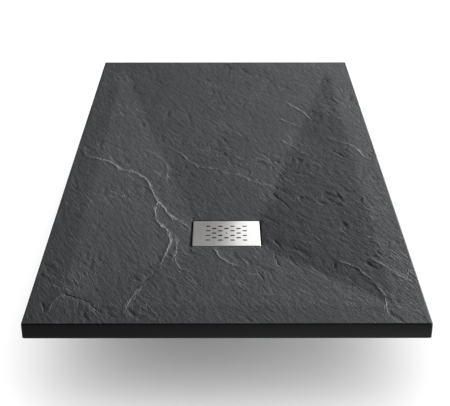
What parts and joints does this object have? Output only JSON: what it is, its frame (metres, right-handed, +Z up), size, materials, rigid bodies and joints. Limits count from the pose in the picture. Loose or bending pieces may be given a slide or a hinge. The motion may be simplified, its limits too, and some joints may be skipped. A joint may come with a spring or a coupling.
{
  "type": "shower tray",
  "caption": "Low rectangular shower tray with a level rim, four slopes down to a slotted steel drain cover, and its removable-insert trap with a swivelling outlet elbow.",
  "frame": {"origin": "middle of the tray's flat underside, on the plane that lies on the bed of mortar or board", "axes": "+X to the right seen from the drain end, +Y along the tray's length from the drain end to the back, +Z up out of the rim"},
  "size_m": [0.8, 1.6, 0.116],
  "materials": {
    "slate_resin": "matt split-slate relief on top, satin cast sides",
    "brushed_stainless": "satin brushed",
    "polished_stainless": "smooth pressed",
    "screw_stainless": "machined",
    "brass": "machined",
    "black_rubber": "matt",
    "grey_polypropylene": "moulded, fine grain",
    "dark_polypropylene": "moulded, ribbed grip",
    "white_polypropylene": "moulded, satin"
  },
  "bodies": {
    "tray": {"tray_body": "slate_resin", "waste_flange": "polished_stainless", "flange_gasket": "black_rubber", "trap_gasket": "black_rubber", "clamp_screws": "screw_stainless", "screw_inserts": "brass", "trap_neck": "grey_polypropylene", "insert_socket": "white_polypropylene", "trap_body": "grey_polypropylene", "union_seal": "black_rubber", "union_nut": "dark_polypropylene"},
    "trap_insert": {"dip_tube": "white_polypropylene", "trap_cup": "white_polypropylene", "insert_seal": "black_rubber"},
    "strainer": {"hair_strainer": "polished_stainless", "strainer_knob": "white_polypropylene"},
    "cover": {"drain_cover": "brushed_stainless", "cover_foot_1": "black_rubber", "cover_foot_2": "black_rubber", "cover_foot_3": "black_rubber", "cover_foot_4": "black_rubber"},
    "elbow": {"outlet_elbow": "grey_polypropylene", "pipe_seal": "black_rubber", "slip_washer": "white_polypropylene", "pipe_nut": "dark_polypropylene"}
  },
  "joints": [
    {"name": "insert_lift", "type": "slide", "parent": "tray", "child": "trap_insert", "axis": [0, 0, 1], "range_m": [0, 0.125]},
    {"name": "strainer_lift", "type": "slide", "parent": "trap_insert", "child": "strainer", "axis": [0, 0, 1], "range_m": [0, 0.045]},
    {"name": "cover_lift", "type": "slide", "parent": "strainer", "child": "cover", "axis": [0, 0, 1], "range_m": [0, 0.06]},
    {"name": "elbow_swivel", "type": "hinge", "parent": "tray", "child": "elbow", "pos_m": [0, -0.331, -0.043], "axis": [0, 1, 0], "range_deg": [0, 180]}
  ]
}
